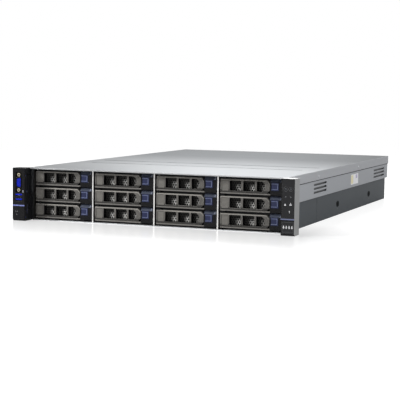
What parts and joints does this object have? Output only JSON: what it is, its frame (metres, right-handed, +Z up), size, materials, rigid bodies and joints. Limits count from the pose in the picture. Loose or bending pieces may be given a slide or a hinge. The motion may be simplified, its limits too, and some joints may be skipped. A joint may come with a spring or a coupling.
{
  "type": "rack server",
  "caption": "Two-unit rack server: hot-swap drive carriers with levers, rack ears, lift-off cover, fans, boards and pluggable power supplies.",
  "frame": {"origin": "middle of the bottom of the whole server, ears and handles included", "axes": "+Z up, the front with its drive bays faces -Y, +X is to the right of someone facing the front"},
  "size_m": [0.4826, 0.75, 0.087],
  "materials": {
    "galvanised_steel": "satin galvanised sheet",
    "cover_steel": "satin galvanised sheet",
    "screw_steel": "bright zinc",
    "ear_plastic": "fine-grained moulding",
    "button_plastic": "moulded",
    "cage_steel": "bright galvanised sheet",
    "circuit_board": "solder mask",
    "carrier_metal": "cast drive in a dark carrier",
    "lever_grey": "warm grey moulding",
    "catch_blue": "dark blue moulding",
    "fan_black": "moulded",
    "sink_aluminium": "extruded fins",
    "memory_board": "module with chips",
    "duct_plastic": "thin moulding",
    "supply_steel": "satin sheet",
    "supply_catch": "coloured moulding"
  },
  "bodies": {
    "chassis": {"chassis": "galvanised_steel", "left_ear": "ear_plastic", "right_ear": "ear_plastic", "drive_cage": "cage_steel", "drive_backplane": "circuit_board", "mainboard": "circuit_board", "cpu_heatsinks": "sink_aluminium", "memory_modules": "memory_board", "air_duct": "duct_plastic", "fan_frames": "fan_black", "riser_cage": "cage_steel"},
    "cover": {"top_cover": "cover_steel", "cover_screws": "screw_steel"},
    "tag": {"information_tag": "ear_plastic"},
    "power_button": {"power_button": "button_plastic"},
    "locator_button": {"locator_button": "button_plastic"},
    "rotor_1": {"fan_rotor_1": "fan_black"},
    "rotor_2": {"fan_rotor_2": "fan_black"},
    "rotor_3": {"fan_rotor_3": "fan_black"},
    "rotor_4": {"fan_rotor_4": "fan_black"},
    "supply_1": {"power_supply_1": "supply_steel"},
    "supply_tab_1": {"supply_catch_1": "supply_catch"},
    "supply_2": {"power_supply_2": "supply_steel"},
    "supply_tab_2": {"supply_catch_2": "supply_catch"},
    "carrier_1_1": {"drive_carrier_1_1": "carrier_metal"},
    "lever_1_1": {"carrier_lever_1_1": "lever_grey"},
    "button_1_1": {"release_button_1_1": "catch_blue"},
    "carrier_1_2": {"drive_carrier_1_2": "carrier_metal"},
    "lever_1_2": {"carrier_lever_1_2": "lever_grey"},
    "button_1_2": {"release_button_1_2": "catch_blue"},
    "carrier_1_3": {"drive_carrier_1_3": "carrier_metal"},
    "lever_1_3": {"carrier_lever_1_3": "lever_grey"},
    "button_1_3": {"release_button_1_3": "catch_blue"},
    "carrier_1_4": {"drive_carrier_1_4": "carrier_metal"},
    "lever_1_4": {"carrier_lever_1_4": "lever_grey"},
    "button_1_4": {"release_button_1_4": "catch_blue"},
    "carrier_2_1": {"drive_carrier_2_1": "carrier_metal"},
    "lever_2_1": {"carrier_lever_2_1": "lever_grey"},
    "button_2_1": {"release_button_2_1": "catch_blue"},
    "carrier_2_2": {"drive_carrier_2_2": "carrier_metal"},
    "lever_2_2": {"carrier_lever_2_2": "lever_grey"},
    "button_2_2": {"release_button_2_2": "catch_blue"},
    "carrier_2_3": {"drive_carrier_2_3": "carrier_metal"},
    "lever_2_3": {"carrier_lever_2_3": "lever_grey"},
    "button_2_3": {"release_button_2_3": "catch_blue"},
    "carrier_2_4": {"drive_carrier_2_4": "carrier_metal"},
    "lever_2_4": {"carrier_lever_2_4": "lever_grey"},
    "button_2_4": {"release_button_2_4": "catch_blue"},
    "carrier_3_1": {"drive_carrier_3_1": "carrier_metal"},
    "lever_3_1": {"carrier_lever_3_1": "lever_grey"},
    "button_3_1": {"release_button_3_1": "catch_blue"},
    "carrier_3_2": {"drive_carrier_3_2": "carrier_metal"},
    "lever_3_2": {"carrier_lever_3_2": "lever_grey"},
    "button_3_2": {"release_button_3_2": "catch_blue"},
    "carrier_3_3": {"drive_carrier_3_3": "carrier_metal"},
    "lever_3_3": {"carrier_lever_3_3": "lever_grey"},
    "button_3_3": {"release_button_3_3": "catch_blue"},
    "carrier_3_4": {"drive_carrier_3_4": "carrier_metal"},
    "lever_3_4": {"carrier_lever_3_4": "lever_grey"},
    "button_3_4": {"release_button_3_4": "catch_blue"}
  },
  "joints": [
    {"name": "cover_lift", "type": "slide", "parent": "chassis", "child": "cover", "axis": [0, 0, 1], "range_m": [0, 0.12]},
    {"name": "tag_slide", "type": "slide", "parent": "chassis", "child": "tag", "axis": [0, -1, 0], "range_m": [0, 0.06]},
    {"name": "power_press", "type": "slide", "parent": "chassis", "child": "power_button", "axis": [0, 1, 0], "range_m": [0, 0.001], "stiffness_N_per_m": 200, "springref_m": -0.001},
    {"name": "locator_press", "type": "slide", "parent": "chassis", "child": "locator_button", "axis": [0, 1, 0], "range_m": [0, 0.001], "stiffness_N_per_m": 200, "springref_m": -0.001},
    {"name": "rotor_spin_1", "type": "hinge", "parent": "chassis", "child": "rotor_1", "pos_m": [-0.159, -0.12, 0.0415], "axis": [0, 1, 0], "continuous": true},
    {"name": "rotor_spin_2", "type": "hinge", "parent": "chassis", "child": "rotor_2", "pos_m": [-0.053, -0.12, 0.0415], "axis": [0, 1, 0], "continuous": true},
    {"name": "rotor_spin_3", "type": "hinge", "parent": "chassis", "child": "rotor_3", "pos_m": [0.053, -0.12, 0.0415], "axis": [0, 1, 0], "continuous": true},
    {"name": "rotor_spin_4", "type": "hinge", "parent": "chassis", "child": "rotor_4", "pos_m": [0.159, -0.12, 0.0415], "axis": [0, 1, 0], "continuous": true},
    {"name": "supply_slide_1", "type": "slide", "parent": "chassis", "child": "supply_1", "axis": [0, 1, 0], "range_m": [0, 0.15]},
    {"name": "supply_release_1", "type": "slide", "parent": "supply_1", "child": "supply_tab_1", "axis": [-1, 0, 0], "range_m": [0, 0.0025], "stiffness_N_per_m": 300, "springref_m": -0.001},
    {"name": "supply_slide_2", "type": "slide", "parent": "chassis", "child": "supply_2", "axis": [0, 1, 0], "range_m": [0, 0.15]},
    {"name": "supply_release_2", "type": "slide", "parent": "supply_2", "child": "supply_tab_2", "axis": [-1, 0, 0], "range_m": [0, 0.0025], "stiffness_N_per_m": 300, "springref_m": -0.001},
    {"name": "carrier_slide_1_1", "type": "slide", "parent": "chassis", "child": "carrier_1_1", "axis": [0, -1, 0], "range_m": [0, 0.155]},
    {"name": "lever_pivot_1_1", "type": "hinge", "parent": "carrier_1_1", "child": "lever_1_1", "pos_m": [-0.20865, -0.3455, 0.07085], "axis": [0, 0, -1], "range_deg": [0, 55]},
    {"name": "button_press_1_1", "type": "slide", "parent": "carrier_1_1", "child": "button_1_1", "axis": [0, 1, 0], "range_m": [0, 0.0016], "stiffness_N_per_m": 200, "springref_m": -0.001},
    {"name": "carrier_slide_1_2", "type": "slide", "parent": "chassis", "child": "carrier_1_2", "axis": [0, -1, 0], "range_m": [0, 0.155]},
    {"name": "lever_pivot_1_2", "type": "hinge", "parent": "carrier_1_2", "child": "lever_1_2", "pos_m": [-0.10055, -0.3455, 0.07085], "axis": [0, 0, -1], "range_deg": [0, 55]},
    {"name": "button_press_1_2", "type": "slide", "parent": "carrier_1_2", "child": "button_1_2", "axis": [0, 1, 0], "range_m": [0, 0.0016], "stiffness_N_per_m": 200, "springref_m": -0.001},
    {"name": "carrier_slide_1_3", "type": "slide", "parent": "chassis", "child": "carrier_1_3", "axis": [0, -1, 0], "range_m": [0, 0.155]},
    {"name": "lever_pivot_1_3", "type": "hinge", "parent": "carrier_1_3", "child": "lever_1_3", "pos_m": [0.00755, -0.3455, 0.07085], "axis": [0, 0, -1], "range_deg": [0, 55]},
    {"name": "button_press_1_3", "type": "slide", "parent": "carrier_1_3", "child": "button_1_3", "axis": [0, 1, 0], "range_m": [0, 0.0016], "stiffness_N_per_m": 200, "springref_m": -0.001},
    {"name": "carrier_slide_1_4", "type": "slide", "parent": "chassis", "child": "carrier_1_4", "axis": [0, -1, 0], "range_m": [0, 0.155]},
    {"name": "lever_pivot_1_4", "type": "hinge", "parent": "carrier_1_4", "child": "lever_1_4", "pos_m": [0.11565, -0.3455, 0.07085], "axis": [0, 0, -1], "range_deg": [0, 55]},
    {"name": "button_press_1_4", "type": "slide", "parent": "carrier_1_4", "child": "button_1_4", "axis": [0, 1, 0], "range_m": [0, 0.0016], "stiffness_N_per_m": 200, "springref_m": -0.001},
    {"name": "carrier_slide_2_1", "type": "slide", "parent": "chassis", "child": "carrier_2_1", "axis": [0, -1, 0], "range_m": [0, 0.155]},
    {"name": "lever_pivot_2_1", "type": "hinge", "parent": "carrier_2_1", "child": "lever_2_1", "pos_m": [-0.20865, -0.3455, 0.0439], "axis": [0, 0, -1], "range_deg": [0, 55]},
    {"name": "button_press_2_1", "type": "slide", "parent": "carrier_2_1", "child": "button_2_1", "axis": [0, 1, 0], "range_m": [0, 0.0016], "stiffness_N_per_m": 200, "springref_m": -0.001},
    {"name": "carrier_slide_2_2", "type": "slide", "parent": "chassis", "child": "carrier_2_2", "axis": [0, -1, 0], "range_m": [0, 0.155]},
    {"name": "lever_pivot_2_2", "type": "hinge", "parent": "carrier_2_2", "child": "lever_2_2", "pos_m": [-0.10055, -0.3455, 0.0439], "axis": [0, 0, -1], "range_deg": [0, 55]},
    {"name": "button_press_2_2", "type": "slide", "parent": "carrier_2_2", "child": "button_2_2", "axis": [0, 1, 0], "range_m": [0, 0.0016], "stiffness_N_per_m": 200, "springref_m": -0.001},
    {"name": "carrier_slide_2_3", "type": "slide", "parent": "chassis", "child": "carrier_2_3", "axis": [0, -1, 0], "range_m": [0, 0.155]},
    {"name": "lever_pivot_2_3", "type": "hinge", "parent": "carrier_2_3", "child": "lever_2_3", "pos_m": [0.00755, -0.3455, 0.0439], "axis": [0, 0, -1], "range_deg": [0, 55]},
    {"name": "button_press_2_3", "type": "slide", "parent": "carrier_2_3", "child": "button_2_3", "axis": [0, 1, 0], "range_m": [0, 0.0016], "stiffness_N_per_m": 200, "springref_m": -0.001},
    {"name": "carrier_slide_2_4", "type": "slide", "parent": "chassis", "child": "carrier_2_4", "axis": [0, -1, 0], "range_m": [0, 0.155]},
    {"name": "lever_pivot_2_4", "type": "hinge", "parent": "carrier_2_4", "child": "lever_2_4", "pos_m": [0.11565, -0.3455, 0.0439], "axis": [0, 0, -1], "range_deg": [0, 55]},
    {"name": "button_press_2_4", "type": "slide", "parent": "carrier_2_4", "child": "button_2_4", "axis": [0, 1, 0], "range_m": [0, 0.0016], "stiffness_N_per_m": 200, "springref_m": -0.001},
    {"name": "carrier_slide_3_1", "type": "slide", "parent": "chassis", "child": "carrier_3_1", "axis": [0, -1, 0], "range_m": [0, 0.155]},
    {"name": "lever_pivot_3_1", "type": "hinge", "parent": "carrier_3_1", "child": "lever_3_1", "pos_m": [-0.20865, -0.3455, 0.01695], "axis": [0, 0, -1], "range_deg": [0, 55]},
    {"name": "button_press_3_1", "type": "slide", "parent": "carrier_3_1", "child": "button_3_1", "axis": [0, 1, 0], "range_m": [0, 0.0016], "stiffness_N_per_m": 200, "springref_m": -0.001},
    {"name": "carrier_slide_3_2", "type": "slide", "parent": "chassis", "child": "carrier_3_2", "axis": [0, -1, 0], "range_m": [0, 0.155]},
    {"name": "lever_pivot_3_2", "type": "hinge", "parent": "carrier_3_2", "child": "lever_3_2", "pos_m": [-0.10055, -0.3455, 0.01695], "axis": [0, 0, -1], "range_deg": [0, 55]},
    {"name": "button_press_3_2", "type": "slide", "parent": "carrier_3_2", "child": "button_3_2", "axis": [0, 1, 0], "range_m": [0, 0.0016], "stiffness_N_per_m": 200, "springref_m": -0.001},
    {"name": "carrier_slide_3_3", "type": "slide", "parent": "chassis", "child": "carrier_3_3", "axis": [0, -1, 0], "range_m": [0, 0.155]},
    {"name": "lever_pivot_3_3", "type": "hinge", "parent": "carrier_3_3", "child": "lever_3_3", "pos_m": [0.00755, -0.3455, 0.01695], "axis": [0, 0, -1], "range_deg": [0, 55]},
    {"name": "button_press_3_3", "type": "slide", "parent": "carrier_3_3", "child": "button_3_3", "axis": [0, 1, 0], "range_m": [0, 0.0016], "stiffness_N_per_m": 200, "springref_m": -0.001},
    {"name": "carrier_slide_3_4", "type": "slide", "parent": "chassis", "child": "carrier_3_4", "axis": [0, -1, 0], "range_m": [0, 0.155]},
    {"name": "lever_pivot_3_4", "type": "hinge", "parent": "carrier_3_4", "child": "lever_3_4", "pos_m": [0.11565, -0.3455, 0.01695], "axis": [0, 0, -1], "range_deg": [0, 55]},
    {"name": "button_press_3_4", "type": "slide", "parent": "carrier_3_4", "child": "button_3_4", "axis": [0, 1, 0], "range_m": [0, 0.0016], "stiffness_N_per_m": 200, "springref_m": -0.001}
  ]
}
